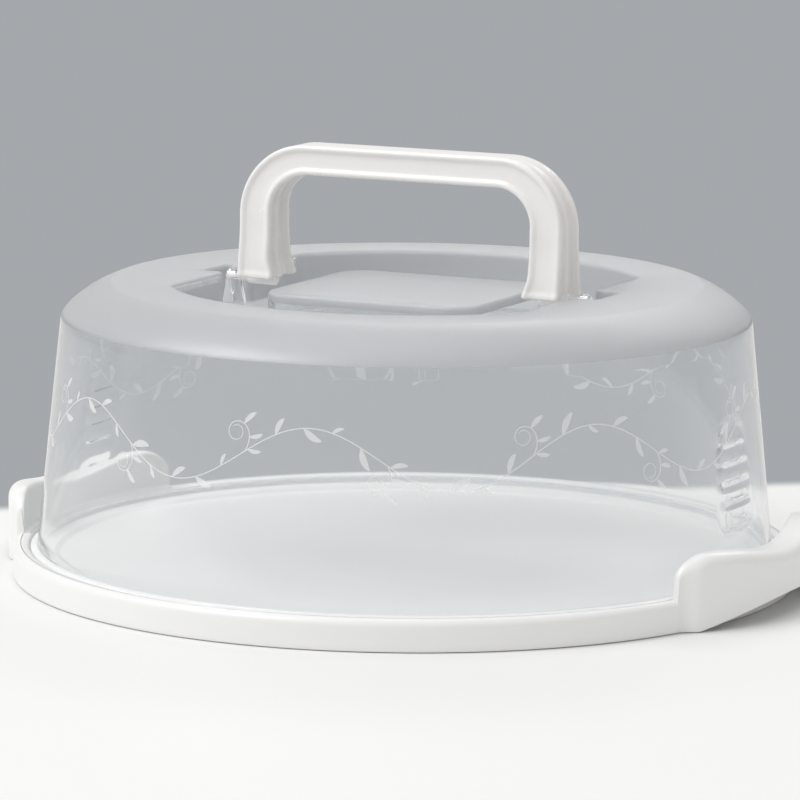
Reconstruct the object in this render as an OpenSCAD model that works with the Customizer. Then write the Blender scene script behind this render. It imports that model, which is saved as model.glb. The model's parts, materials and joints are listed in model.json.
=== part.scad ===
// Round cake carrier: a white serving tray with two grip ears, a clear dome cover
// with a frosted top, and a bail handle that folds down into a recess in the cover.
// Millimetres, +Z up, origin at the centre of the tray's underside,
// +X through the middle of one grip ear.

/* [Tray] */
// Outer radius of the tray at its skirt
tray_r = 150; // [135:1:170]
// Height of the tray's rim above the table
tray_h = 12; // [10:0.5:16]
// Wall of the tray moulding
tray_wall = 2.2; // [1.6:0.1:3]
// Depth of the cover's seat below the rim
seat_drop = 3; // [2:0.5:4]
// Depth of the cake floor below the cover's seat
floor_drop = 1.5; // [1:0.25:2]
// Width of the ring that the cover stands on
seat_w = 9.4; // [7:0.2:14]
// Rounding of the tray's rim
rim_round = 3; // [1.5:0.5:3.5]
// Number of stiffening ribs under the tray
under_rib_count = 12; // [6:1:24]

/* [Grip ears] */
// How far an ear stands out beyond the tray's skirt, at its middle
ear_reach = 11; // [8:1:24]
// Half of the ear's length along its inner face
ear_half = 58; // [50:1:66]
// How much shorter the ear's outer face is, at each end
ear_end_slant = 8; // [4:1:12]
// Height of the ear's ends above the table
ear_top = 28; // [23:0.5:31]
// How far the ear's top dips at its middle
ear_dip = 4; // [1:0.5:5]
// Half of the length over which the ear's top dips
ear_dip_half = 42; // [26:1:42]
// Rounding of the ear's ends, seen from the side
ear_end_round = 13; // [6:1:14]
// How far the ear's lower edge rises at its middle
ear_lift = 8; // [4:0.5:12]
// How far the ear's end stands proud of the skirt
ear_step = 5; // [2:0.5:6]
// Rounding of the ear's upper outer edge
ear_edge_round = 4.5; // [3:0.5:6]
// How far the ear's inner face stands in from the skirt's outer face
ear_inset = 2.8; // [1.5:0.1:4]

/* [Cover] */
// Gap between the cover's foot and the tray, all round and below it
cover_gap = 0.3; // [0.2:0.05:0.6]
// Wall of the cover moulding
cover_wall = 2; // [1.5:0.1:2.6]
// Height of the cover, from its foot to its crown
cover_h = 103.1; // [90:0.5:130]
// How far the clear wall leans in for each millimetre of height
cover_draft = 0.105; // [0.05:0.005:0.14]
// Height of the frosted shoulder
shoulder_h = 13.1; // [8:0.5:20]
// Width of the frosted shoulder
shoulder_w = 19.3; // [12:0.5:26]
// Width of the cover's foot flange beyond its wall
foot_flange = 2.3; // [1:0.1:3]
// Height of the cover's foot flange
foot_flange_h = 2.6; // [1.5:0.1:4]

/* [Top recess and island] */
// Radius of the recess in the cover's top, in front and behind
recess_r = 90; // [84:0.5:92]
// Half of the width between the recess's straight sides
recess_half_w = 73; // [71.6:0.2:76]
// Room beyond a pivot pin in the pocket of the recess around its lug
pocket_end = 6; // [2:0.5:8]
// Room beside a lug in its pocket
pocket_side = 4; // [1:0.5:6]
// Clearance between the folded handle's foot and the recess floor
fold_gap = 0.4; // [0.3:0.05:1]
// How far the island's top lies below the crown
island_drop = 2.8; // [2:0.2:5]
// Gap between the island and the folded handle's crossbar
island_gap = 2.4; // [1.2:0.2:4]
// Gap between the island's ends and the handle's legs
island_side_gap = 10.7; // [4:0.5:14]
// Corner radius of the island
island_corner = 12; // [6:1:20]

/* [Handle] */
// Width of the handle over its legs
handle_w = 135.8; // [120:0.2:146]
// Height of the handle's top above the pivot
handle_h = 53.1; // [48:0.1:60]
// Width of a leg, seen from the front
leg_w = 13.2; // [12:0.2:16]
// Height of the crossbar, seen from the front
bar_h = 11.4; // [9:0.2:14]
// Depth of the handle, front to back
handle_d = 17.6; // [15:0.2:19]
// Outer corner radius of the handle
handle_corner = 27; // [18:1:28]
// Thickness of the handle's front and back flanges
flange_t = 3.2; // [2.5:0.1:4]
// Depth of the channel between the flanges
channel_d = 2.2; // [1.2:0.1:3]
// Depth of a foot, front to back
foot_d = 23; // [20:0.2:25]
// Height of the top of the foot's flare above the pivot
foot_h = 22; // [14:1:26]
// Height of the foot's underside above the pivot
foot_lift = 1; // [0.6:0.1:1.6]
// How far a foot flares inwards, seen from the front
foot_flare = 2; // [0.5:0.5:3]
// Height of a foot's inward flare
flare_h = 9; // [6:1:12]

/* [Pivots] */
// Height of the pivot axis below the cover's crown
pivot_drop = 3; // [2.8:0.1:5]
// Radius of a pivot pin
pin_r = 1.6; // [1.4:0.1:2]
// Radius of the knuckle under a foot
knuckle_r = 2.6; // [2.4:0.1:3.4]
// Clearance around a pivot pin
pin_gap = 0.05; // [0.03:0.01:0.08]
// Thickness of a pivot lug
lug_t = 4.4; // [3:0.2:6]
// Length of bare pin between a leg and its lug
lug_gap = 4.4; // [0.4:0.2:6]
// Material around the pin in a lug
lug_rim = 1.4; // [1.2:0.1:2]
// Half width of a lug at its root
lug_root = 6.5; // [5:0.5:9]

/* [Side grips] */
// Half of the width of a ribbed grip, as an angle at the cover's axis
grip_half_angle = 6; // [5:0.5:11]
// Height of the grip's middle above the cover's foot
grip_mid = 39; // [34:1:56]
// Height of the grip
grip_h = 36; // [24:1:44]
// Depth of the grip below the cover's wall
grip_depth = 1; // [0.6:0.1:1.4]
// Number of ribs in a grip
grip_ribs = 4; // [3:1:7]
// Width of a rib
grip_rib_w = 2.4; // [1.6:0.2:3]

/* [Hidden] */
$fn = 96;
white = [0.95, 0.95, 0.94];
handle_white = [0.94, 0.92, 0.92];
clear = [0.86, 0.89, 0.91, 0.45];
arc_steps = 8;
ear_steps = 12;
// How the shoulder bulges: 1 is a straight chamfer and 2 is an ellipse
shoulder_power = 1.3;
shoulder_steps = 10;

// Tray levels
seat_z = tray_h - seat_drop;
floor_z = seat_z - floor_drop;
rim_in_r = tray_r - 2 * rim_round;
seat_lean = 0.4;
seat_r = rim_in_r - seat_lean;
floor_r = seat_r - seat_w;
under_ring_r = floor_r * 0.7;
under_foot = 1;

// Cover levels and radii
cover_foot_z = seat_z + cover_gap;
crown_z = cover_foot_z + cover_h;
foot_r = seat_r - cover_gap;
wall_foot_r = foot_r - foot_flange;
shoulder_z = crown_z - shoulder_h;
wall_top_r = wall_foot_r - cover_draft * (shoulder_z - cover_foot_z);
crown_r = wall_top_r - shoulder_w;
pivot_z = crown_z - pivot_drop;
recess_z = pivot_z - foot_d / 2 - fold_gap;
foot_edge = 2.5;
island_z = crown_z - island_drop;

// Handle sizes
leg_out = handle_w / 2;
leg_in = leg_out - leg_w;
bar_under = handle_h - bar_h;
inner_corner = handle_corner - bar_h;
island_x = leg_in - island_side_gap;
island_y = bar_under - island_gap;
lug_in = leg_out + lug_gap;
lug_out = lug_in + lug_t;
pin_proud = 0.5;
pin_end = lug_out + pin_proud;
lug_r = pin_r + pin_gap + lug_rim;

// Ear plan: a circle through the middle of the ear and both of its ends
ear_tip = tray_r + ear_reach;
ear_foot_half = ear_half - ear_end_slant;
ear_root_x = sqrt(pow(tray_r - ear_inset, 2) - pow(ear_half, 2));
ear_end_x = sqrt(pow(tray_r + ear_step, 2) - pow(ear_foot_half, 2));
ear_circle_x = (pow(ear_tip, 2) - pow(ear_end_x, 2) - pow(ear_foot_half, 2))
    / (2 * (ear_tip - ear_end_x));
ear_circle_r = ear_tip - ear_circle_x;

// Points of an arc from angle a0 to a1 around (x, y)
function arc(x, y, r, a0, a1, steps = arc_steps) =
    [for (i = [0:steps]) let (a = a0 + (a1 - a0) * i / steps) [x + r * cos(a), y + r * sin(a)]];

function unit(v) = v / norm(v);
function left_of(v) = [-v[1], v[0]];

// The line that runs a distance t to the left of an open line of points,
// mitred at its corners
function beside(pts, t) = [
    for (i = [0:len(pts) - 1])
    let (
        before = left_of(unit(pts[max(i, 1)] - pts[max(i, 1) - 1])),
        after = left_of(unit(pts[min(i, len(pts) - 2) + 1] - pts[min(i, len(pts) - 2)])),
        mid = unit(before + after)
    )
    pts[i] + mid * t / (mid * before)
];

function reversed(pts) = [for (i = [len(pts) - 1:-1:0]) pts[i]];

// A sheet of thickness t that follows an open line of points
module sheet(pts, t) {
    polygon(concat(pts, reversed(beside(pts, t))));
}

module rounded_box_2d(x, y, r) {
    polygon(concat(
        arc(x - r, y - r, r, 0, 90),
        arc(-x + r, y - r, r, 90, 180),
        arc(-x + r, -y + r, r, 180, 270),
        arc(x - r, -y + r, r, 270, 360)
    ));
}

// Tray ---------------------------------------------------------------

// The tray's upper surface, from the skirt's foot to the axis
tray_line = concat(
    [[tray_r, 0]],
    arc(tray_r - rim_round, tray_h - rim_round, rim_round, 0, 90),
    [[rim_in_r, tray_h - seat_drop * 0.25]],
    [[seat_r, seat_z]],
    [[floor_r, seat_z]],
    [[floor_r - floor_drop, floor_z]],
    [[0, floor_z]]
);

module tray_shell() {
    rotate_extrude()
        sheet(tray_line, tray_wall);
}

module tray_under_ribs() {
    under_z = floor_z - tray_wall;
    rotate_extrude()
        translate([under_ring_r, under_foot])
            square([tray_wall, under_z - under_foot + tray_wall / 2]);
    for (i = [0:under_rib_count - 1])
        rotate([0, 0, (i + 0.5) * 360 / under_rib_count])
            translate([under_ring_r + tray_wall / 2, -tray_wall / 2, 2 * under_foot])
                cube([
                    tray_r - tray_wall - under_ring_r,
                    tray_wall,
                    under_z - 2 * under_foot + tray_wall / 4
                ]);
}

// The ear's top line dips smoothly towards its middle
function ear_top_z(y) = abs(y) < ear_dip_half
    ? ear_top - ear_dip * (1 + cos(180 * y / ear_dip_half)) / 2
    : ear_top;

// The ear's lower edge rises smoothly towards its middle
function ear_low_z(y) = max(0, ear_lift * cos(90 * y / ear_foot_half));

// The ear's outline seen from the side, drawn in by a margin and open below if it has one
module ear_side(margin) {
    half = ear_half - margin;
    round = ear_end_round - margin;
    polygon(concat(
        [for (i = [0:ear_steps]) let (y = -half + 2 * half * i / ear_steps)
            [y, margin > 0 ? -1 : ear_low_z(y)]],
        arc(half - round, ear_top - margin - round, round, 0, 90),
        [for (i = [0:ear_steps]) let (y = ear_dip_half * (1 - 2 * i / ear_steps))
            [y, ear_top_z(y) - margin]],
        arc(-half + round, ear_top - margin - round, round, 90, 180)
    ));
}

// The ear's ends seen from above, slanting in towards its outer face
module ear_plan(margin) {
    inner_y = ear_half - margin;
    outer_y = ear_foot_half - margin;
    polygon([
        [ear_root_x - 20, -inner_y],
        [ear_root_x, -inner_y],
        [ear_end_x, -outer_y],
        [ear_tip + 5, -outer_y],
        [ear_tip + 5, outer_y],
        [ear_end_x, outer_y],
        [ear_root_x, inner_y],
        [ear_root_x - 20, inner_y]
    ]);
}

// The ear's body of revolution, with a rounded upper edge
module ear_drum(margin) {
    drum_r = ear_circle_r - margin;
    drum_top = ear_top - margin;
    round = ear_edge_round - margin * 0.5;
    translate([ear_circle_x, 0, 0])
        rotate_extrude()
            polygon(concat(
                [[0, -1], [drum_r, -1]],
                arc(drum_r - round, drum_top - round, round, 0, 90),
                [[0, drum_top]]
            ));
}

module ear_solid(margin, inner_r) {
    difference() {
        intersection() {
            ear_drum(margin);
            translate([ear_root_x - 20, 0, 0])
                rotate([90, 0, 90])
                    linear_extrude(ear_tip - ear_root_x + 40)
                        ear_side(margin);
            translate([0, 0, -2])
                linear_extrude(ear_top + 4)
                    ear_plan(margin);
        }
        translate([0, 0, -2])
            cylinder(r = inner_r, h = ear_top + 4);
    }
}

module ear() {
    difference() {
        ear_solid(0, tray_r - ear_inset);
        // Hollow underside for the fingers, outside the tray's skirt
        ear_solid(tray_wall, tray_r - tray_wall / 2);
        // Nothing of the ear lies under the tray's own rim
        translate([0, 0, -2])
            cylinder(r = tray_r - tray_wall / 2, h = tray_h - rim_round + 2);
    }
}

module base_tray() {
    color(white) {
        union() {
            tray_shell();
            tray_under_ribs();
            for (side = [0, 180])
                rotate([0, 0, side])
                    ear();
        }
    }
}

// Cover --------------------------------------------------------------

shoulder_line = [
    for (i = [0:shoulder_steps])
    let (a = 90 * i / shoulder_steps)
    [
        crown_r + shoulder_w * pow(cos(a), 2 / shoulder_power),
        shoulder_z + shoulder_h * pow(sin(a), 2 / shoulder_power)
    ]
];

// The cover's outer surface, from the top of the foot flange to the axis
cover_line = concat(
    [[wall_foot_r, cover_foot_z]],
    shoulder_line,
    [[0, crown_z]]
);

function wall_r(z) = wall_foot_r - cover_draft * (z - cover_foot_z);

module cover_shell() {
    inner_line = beside(cover_line, cover_wall);
    rotate_extrude()
        polygon(concat(
            cover_line,
            [for (i = [len(inner_line) - 1:-1:1]) inner_line[i]],
            [[inner_line[0][0], cover_foot_z]]
        ));
    rotate_extrude()
        polygon([
            [wall_foot_r - cover_wall, cover_foot_z],
            [foot_r, cover_foot_z],
            [foot_r, cover_foot_z + foot_flange_h * 0.6],
            [wall_r(cover_foot_z + foot_flange_h) - cover_wall / 2, cover_foot_z + foot_flange_h]
        ]);
}

// The recess between two heights: round in front and behind, straight at its sides,
// with a pocket around each lug
module recess_block(margin, low_z, high_z) {
    side_x = recess_half_w + margin;
    pocket_x = pin_end + pocket_end + margin;
    pocket_y = lug_root + pocket_side + margin;
    intersection() {
        translate([0, 0, low_z])
            cylinder(r = recess_r + margin, h = high_z - low_z);
        translate([-side_x, -2 * recess_r, low_z - 1])
            cube([2 * side_x, 4 * recess_r, high_z - low_z + 2]);
    }
    translate([-pocket_x, -pocket_y, low_z])
        cube([2 * pocket_x, 2 * pocket_y, high_z - low_z]);
}

module cover_top() {
    difference() {
        union() {
            cover_shell();
            recess_block(cover_wall, recess_z - cover_wall, crown_z - cover_wall / 2);
        }
        recess_block(0, recess_z, crown_z + 1);
    }
}

module island_block(inset, low_z, high_z) {
    translate([0, 0, low_z])
        linear_extrude(high_z - low_z)
            rounded_box_2d(island_x - inset, island_y - inset, island_corner - inset);
}

module lug() {
    translate([lug_in, 0, 0])
        rotate([90, 0, 90])
            linear_extrude(lug_t)
                polygon(concat(
                    [[-lug_root, recess_z - cover_wall / 2], [lug_root, recess_z - cover_wall / 2]],
                    arc(0, pivot_z, lug_r, 15, 165, 12)
                ));
}

module pin_hole() {
    translate([lug_in - 1, 0, pivot_z])
        rotate([0, 90, 0])
            cylinder(r = pin_r + pin_gap, h = lug_t + 2);
}

// One ring segment between two heights, following the wall's lean
module wall_band(low_z, high_z, from_r, to_r, half_angle) {
    rotate([0, 0, -half_angle])
        rotate_extrude(angle = 2 * half_angle)
            polygon([
                [wall_r(low_z) + from_r, low_z],
                [wall_r(low_z) + to_r, low_z],
                [wall_r(high_z) + to_r, high_z],
                [wall_r(high_z) + from_r, high_z]
            ]);
}

grip_low = cover_foot_z + grip_mid - grip_h / 2;
grip_high = grip_low + grip_h;
grip_pitch = grip_h / (grip_ribs + 1);

module grip_pad() {
    wall_band(grip_low - 2, grip_high + 2, -cover_wall - grip_depth, -cover_wall / 2,
        grip_half_angle + 1);
}

module grip_pocket() {
    difference() {
        wall_band(grip_low, grip_high, -grip_depth, 2, grip_half_angle);
        for (i = [1:grip_ribs]) {
            rib_z = grip_low + i * grip_pitch;
            wall_band(rib_z - grip_rib_w / 2, rib_z + grip_rib_w / 2, -grip_depth - 1, 0,
                grip_half_angle + 1);
        }
    }
}

module cover() {
    color(clear) {
        difference() {
            union() {
                cover_top();
                island_block(0, recess_z - cover_wall, island_z);
                for (side = [0, 180])
                    rotate([0, 0, side]) {
                        lug();
                        grip_pad();
                    }
            }
            island_block(cover_wall, recess_z - cover_wall - 1, island_z - cover_wall);
            for (side = [0, 180])
                rotate([0, 0, side]) {
                    pin_hole();
                    grip_pocket();
                }
        }
    }
}

// Handle -------------------------------------------------------------

// The handle's outline seen from the front: a U upside down on the pivot, with flared feet
module handle_outline(inset) {
    out = leg_out - inset;
    high = handle_h - inset;
    inn = leg_in + inset;
    under = bar_under + inset;
    flare_x = inn - foot_flare;
    flare_low = foot_lift + foot_edge;
    flare_high = foot_lift + flare_h;
    polygon(concat(
        [[out, foot_lift]],
        arc(out - handle_corner + inset, high - handle_corner + inset, handle_corner - inset, 0, 90),
        arc(-out + handle_corner - inset, high - handle_corner + inset, handle_corner - inset, 90, 180),
        [[-out, foot_lift], [-flare_x, foot_lift], [-flare_x, flare_low], [-inn, flare_high]],
        arc(-inn + inner_corner + inset, under - inner_corner - inset, inner_corner + inset, 180, 90),
        arc(inn - inner_corner - inset, under - inner_corner - inset, inner_corner + inset, 90, 0),
        [[inn, flare_high], [flare_x, flare_low], [flare_x, foot_lift]]
    ));
}

module handle_slice(inset, from_y, to_y) {
    translate([0, to_y, pivot_z])
        rotate([90, 0, 0])
            linear_extrude(to_y - from_y)
                handle_outline(inset);
}

// The part of the handle's outline that spreads to the front and back at its feet
module feet() {
    intersection() {
        handle_slice(0, -foot_d / 2, foot_d / 2);
        translate([-handle_w, 0, pivot_z])
            rotate([90, 0, 90])
                linear_extrude(2 * handle_w)
                    polygon([
                        [-foot_d / 2, foot_lift],
                        [foot_d / 2, foot_lift],
                        [foot_d / 2, foot_lift + foot_edge],
                        [handle_d / 2, foot_h],
                        [-handle_d / 2, foot_h],
                        [-foot_d / 2, foot_lift + foot_edge]
                    ]);
    }
}

// A knuckle under the foot, and the pin that runs out of it into the lug
module pin() {
    translate([leg_in + 2, 0, pivot_z])
        rotate([0, 90, 0])
            cylinder(r = knuckle_r, h = leg_w - 2);
    translate([leg_out - 1, 0, pivot_z])
        rotate([0, 90, 0])
            cylinder(r = pin_r, h = pin_end - leg_out + 1);
}

module handle() {
    color(handle_white) {
        union() {
            handle_slice(channel_d, -handle_d / 2 + flange_t / 2, handle_d / 2 - flange_t / 2);
            handle_slice(0, -handle_d / 2, -handle_d / 2 + flange_t);
            handle_slice(0, handle_d / 2 - flange_t, handle_d / 2);
            feet();
            for (side = [0, 180])
                rotate([0, 0, side])
                    pin();
        }
    }
}

base_tray();
cover();
handle();
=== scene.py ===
"""Looks of a round cake carrier: white tray with two grip ears, clear cover with a frosted
top, and a folding bail handle. Lengths are millimetres until a mesh is made."""
import json
import math

import bmesh
import bpy
from mathutils import Matrix, Vector


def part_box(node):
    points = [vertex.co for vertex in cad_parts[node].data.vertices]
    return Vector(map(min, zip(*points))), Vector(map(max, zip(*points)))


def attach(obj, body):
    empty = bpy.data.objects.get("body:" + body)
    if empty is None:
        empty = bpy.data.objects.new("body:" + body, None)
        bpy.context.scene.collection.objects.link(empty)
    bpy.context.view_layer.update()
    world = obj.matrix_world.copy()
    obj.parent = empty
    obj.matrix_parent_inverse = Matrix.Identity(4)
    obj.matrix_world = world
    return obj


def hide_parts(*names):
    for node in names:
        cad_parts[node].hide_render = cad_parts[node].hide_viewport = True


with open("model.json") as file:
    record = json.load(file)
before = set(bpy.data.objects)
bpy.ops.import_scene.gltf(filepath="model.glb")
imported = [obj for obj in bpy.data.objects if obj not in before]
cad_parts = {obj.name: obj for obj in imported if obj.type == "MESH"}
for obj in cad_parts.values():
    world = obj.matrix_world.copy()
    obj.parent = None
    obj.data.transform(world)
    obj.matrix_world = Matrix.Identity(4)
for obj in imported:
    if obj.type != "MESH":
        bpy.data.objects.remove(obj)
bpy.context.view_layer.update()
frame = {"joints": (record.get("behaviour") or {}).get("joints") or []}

MM = 0.001
# Points closer than this are one point
WELD = 0.002


def node_box(node):
    """Lowest and highest corner of a CAD node, in millimetres."""
    low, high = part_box(node)
    return low / MM, high / MM


TRAY_LOW, TRAY_HIGH = node_box("base_tray")
COVER_LOW, COVER_HIGH = node_box("cover")
HANDLE_LOW, HANDLE_HIGH = node_box("handle")
PIVOT_Z = next(j["pos_m"][2] for j in frame["joints"] if j["name"] == "handle_fold") / MM

# Tray
TRAY_R = TRAY_HIGH.y
TRAY_H = 12.0
TRAY_WALL = 2.2
RIM_ROUND = 3.0
SEAT_Z = 9.0
FLOOR_Z = 7.5
RIM_LIP = 0.4
SEAT_R = TRAY_R - 2 * RIM_ROUND - RIM_LIP
SEAT_W = 9.4
FLOOR_R = SEAT_R - SEAT_W
# Radii of the cake floor's points between its axis and its edge
FLOOR_RINGS = (60, 110)
FLOOR_STEP_W = 2.5
FLOOR_FILLET = 1.6
TRAY_EDGE = 0.8
SKIRT_EDGE = 0.6
UNDER_Z = FLOOR_Z - TRAY_WALL
UNDER_RING_R = 93.0
UNDER_RING_Z = 1.0
UNDER_RING_EDGE = 0.4
UNDER_RING_COLUMNS = 180
UNDER_RIBS = 12
UNDER_RIB_Z = 2.0
UNDER_RIB_BEVEL = 0.3

# Grip ears
EAR_TIP = TRAY_HIGH.x
EAR_TOP = TRAY_HIGH.z
EAR_DIP = 4.0
EAR_DIP_HALF = 42.0
EAR_INNER_R = TRAY_R - 2.8
EAR_LIFT = 8.0
EAR_FOOT_HALF = 50.0
EAR_END_ROUND = 13.0
EAR_FLAT_HALF = 44.5
# The ear ends this far from its middle, and has its full reach up to here
EAR_END = 56.5
EAR_FULL_HALF = 49.5
EAR_EDGE_ROUND = 4.5
EAR_INNER_EDGE = 2.0
EAR_INNER_FILLET = 2.2
# The edges have their full rounding where the ear stands this high over the rim
EAR_EDGE_RISE = 6.0
EAR_HOLLOW_FILLET = 2.5
# Centre of the ear's outer circle, its radius, and the line that its ends follow down to the rim
EAR_CIRCLE_X = 66.4
EAR_CIRCLE_R = EAR_TIP - EAR_CIRCLE_X
EAR_FILLET = 4.0
EAR_ARC_END = 8.0

# Cover
COVER_FOOT_Z = COVER_LOW.z
FOOT_R = COVER_HIGH.x
FOOT_FLANGE = 2.3
FLANGE_H = 2.6
FLANGE_EDGE = 0.6
COVER_WALL = 2.0
CROWN_Z = 112.4
WALL_FOOT_R = FOOT_R - FOOT_FLANGE
DRAFT = 0.105
SHOULDER_H = 13.1
SHOULDER_W = 19.3
SHOULDER_POWER = 1.3
SHOULDER_Z = CROWN_Z - SHOULDER_H
SHOULDER_STEPS = 20
RECESS_R = 90.0
RECESS_HALF_W = 73.0
RECESS_CORNER = 12.0
POCKET_X = 83.2
POCKET_Y = 10.5
POCKET_CORNER = 2.6
RECESS_Z = PIVOT_Z - 11.9
# The straight sides of the recess are satin above this height and frosted below it
RECESS_SATIN_Z = 106.8
EDGE_ROUND = 1.6
LEAST_ROUND = 0.3
RECESS_FILLET = 0.8
ISLAND_X = 44.0
ISLAND_Y = 38.7
ISLAND_CORNER = 12.0
ISLAND_Z = 109.6
ISLAND_FILLET = 1.2
ISLAND_EDGE = 1.4

# Lugs and pins
PIN_R = 1.6
PIN_GAP = 0.05
LUG_IN = 72.3
LUG_T = 4.4
LUG_RIM = 1.4
LUG_ROOT = 6.5
LUG_BEVEL = 0.5

# Side grips
GRIP_HALF_ANGLE = 4.2
GRIP_LOW = COVER_FOOT_Z + 23.0
GRIP_H = 34.0
GRIP_RIBS = 4
GRIP_RIB_W = 2.4
GRIP_RIB_SOFT = 1.8
# A rib's height as a share of the grip's depth
GRIP_RIB_H = 0.95
GRIP_DEPTH = 0.5
GRIP_ARCH = 6.0
GRIP_SOFT = 5.0
# The grip's sides are softer than its ends by this much
GRIP_SIDE_SOFT = 3.0
# The wall swells inwards behind the grip, a little wider and softer
PAD_MARGIN = 2.0
PAD_SOFT = 7.0
# Distance between the wall's points over the grip
GRIP_ROW = 0.6

# Handle
HANDLE_TOP = HANDLE_HIGH.z - PIVOT_Z
LEG_OUT = 67.9
LEG_W = 13.2
BAR_H = 11.4
HANDLE_D = 17.6
BAR_D = 14.8
HANDLE_CORNER = 27.0
FLANGE_T = 2.6
CHANNEL_D = 2.8
FACE_DISH = 1.0
# Share of the channel's depth that is left on top of the bar
TOP_CHANNEL = 0.02
FOOT_D = 2 * HANDLE_HIGH.y
FOOT_H = 22.0
FOOT_LIFT = 1.0
FOOT_FLARE = 2.0
FLARE_H = 9.0
FOOT_LIP = 0.7
FOOT_EDGE = 0.8
# Heights over the pivot at which the leg's section is drawn
LEG_HEIGHTS = (FOOT_LIFT, 1.4, 2.0, 2.8, 3.6, 4.6, 6, 8, 10.5, 13, 16, 19, 22, 24)
CORNER_STEPS = 20
BAR_STATIONS = (30, 20, 10)
BEAD_ROUND = 1.3
RIB_HALF_W = 0.7
# From the channel's middle rib down to its floor: (share of the way, distance from the middle)
RIB_SLOPE = ((0.3, 1.3), (0.8, 1.8), (1, 2.4))
# From the channel's floor up to the bead: (share of the way, distance from the bead's foot)
BEAD_SLOPE = ((0, -1.0), (0.15, -0.5), (0.6, 0))
# From the bead into the dished face: (distance from the edge, share of the dish's depth)
DISH_SLOPE = ((1.7, 0.1), (2.2, 0.36), (2.7, 0.68), (3.3, 0.92))
KNUCKLE_R = PIVOT_Z - HANDLE_LOW.z


# Mesh helpers ---------------------------------------------------------


def arc(x, y, radius, start, end, steps):
    """Points of an arc from angle start to end, in degrees, around (x, y)."""
    points = []
    for i in range(steps + 1):
        a = math.radians(start + (end - start) * i / steps)
        points.append((x + radius * math.cos(a), y + radius * math.sin(a)))
    return points


def line(start, end, steps):
    """Points of a straight run, without its last point."""
    return [
        (start[0] + (end[0] - start[0]) * i / steps, start[1] + (end[1] - start[1]) * i / steps)
        for i in range(steps)
    ]


def smooth(t):
    """A soft step: nought up to 0, one from 1 on."""
    t = min(1.0, max(0.0, t))
    return t * t * (3 - 2 * t)


def mix(a, b, t):
    """The value at a share t of the way from a to b."""
    return a + (b - a) * t


def spin(angle, r, z):
    """The point at radius r and height z in the direction of an angle in radians."""
    return (r * math.cos(angle), r * math.sin(angle), z)


def make_object(name, points, faces, materials, slots, sharp):
    """A smooth object with edges sharper than an angle in degrees; slots is a material per face."""
    mesh = bpy.data.meshes.new(name)
    mesh.from_pydata([Vector(p) * MM for p in points], [], faces)
    for material in materials:
        mesh.materials.append(material)
    for polygon, index in zip(mesh.polygons, slots):
        polygon.material_index = index
    work = bmesh.new()
    work.from_mesh(mesh)
    bmesh.ops.remove_doubles(work, verts=work.verts, dist=WELD * MM)
    bmesh.ops.dissolve_degenerate(work, edges=work.edges, dist=WELD * MM)
    bmesh.ops.recalc_face_normals(work, faces=work.faces)
    work.to_mesh(mesh)
    work.free()
    mesh.shade_smooth()
    mesh.set_sharp_from_angle(angle=math.radians(sharp))
    obj = bpy.data.objects.new(name, mesh)
    bpy.context.scene.collection.objects.link(obj)
    return obj


def grid_faces(columns, rows, closed_columns, closed_rows):
    """Quads of a grid whose points are listed column by column."""
    faces = []
    for c in range(columns if closed_columns else columns - 1):
        here, there = c * rows, (c + 1) % columns * rows
        for r in range(rows if closed_rows else rows - 1):
            m = (r + 1) % rows
            faces.append((here + r, there + r, there + m, here + m))
    return faces


class Build:
    """Points and faces of one object, gathered from several closed shapes."""

    def __init__(self):
        self.points = []
        self.faces = []
        self.slots = []

    def add(self, points, faces, slot=0):
        base = len(self.points)
        self.points += points
        self.faces += [tuple(base + i for i in f) for f in faces]
        self.slots += [slot] * len(faces)

    def grid(self, columns, closed_columns=True, closed_rows=False, slots=None):
        """A skin over columns of points; slots is a material per face."""
        rows = len(columns[0])
        faces = grid_faces(len(columns), rows, closed_columns, closed_rows)
        base = len(self.points)
        for column in columns:
            self.points += column
        self.faces += [tuple(base + i for i in f) for f in faces]
        self.slots += slots or [0] * len(faces)

    def prism(self, outline, place, low, high, bevel):
        """An outline extruded from low to high with bevelled edges; place puts (u, v, w) in space."""
        count = len(outline)
        centre = [sum(p[i] for p in outline) / count for i in (0, 1)]
        rings = []
        for w, inset in ((low, bevel), (low + bevel, 0), (high - bevel, 0), (high, bevel)):
            ring = []
            for u, v in outline:
                du, dv = u - centre[0], v - centre[1]
                length = math.hypot(du, dv) or 1
                ring.append(place(u - du / length * inset, v - dv / length * inset, w))
            rings.append(ring)
        points = [p for ring in rings for p in ring]
        faces = [tuple(range(count))[::-1], tuple(3 * count + i for i in range(count))]
        for k in range(3):
            for i in range(count):
                j = (i + 1) % count
                faces.append((k * count + i, k * count + j, (k + 1) * count + j, (k + 1) * count + i))
        self.add(points, faces)

    def rod(self, place, radius, low, high, bevel, sides=48):
        round_line = arc(0, 0, radius, 0, 360 * (1 - 1 / sides), sides - 1)
        self.prism(round_line, place, low, high, bevel)

    def make(self, name, materials, sharp=40):
        return make_object(name, self.points, self.faces, materials, self.slots, sharp)


# Materials ------------------------------------------------------------

PLASTIC_IOR = 1.49
RIPPLE_SCALE = 22.0
GRAIN_SIZE = 0.4
BUMP_DEPTH = 0.25
VARY_SCALE = 35.0


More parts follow.
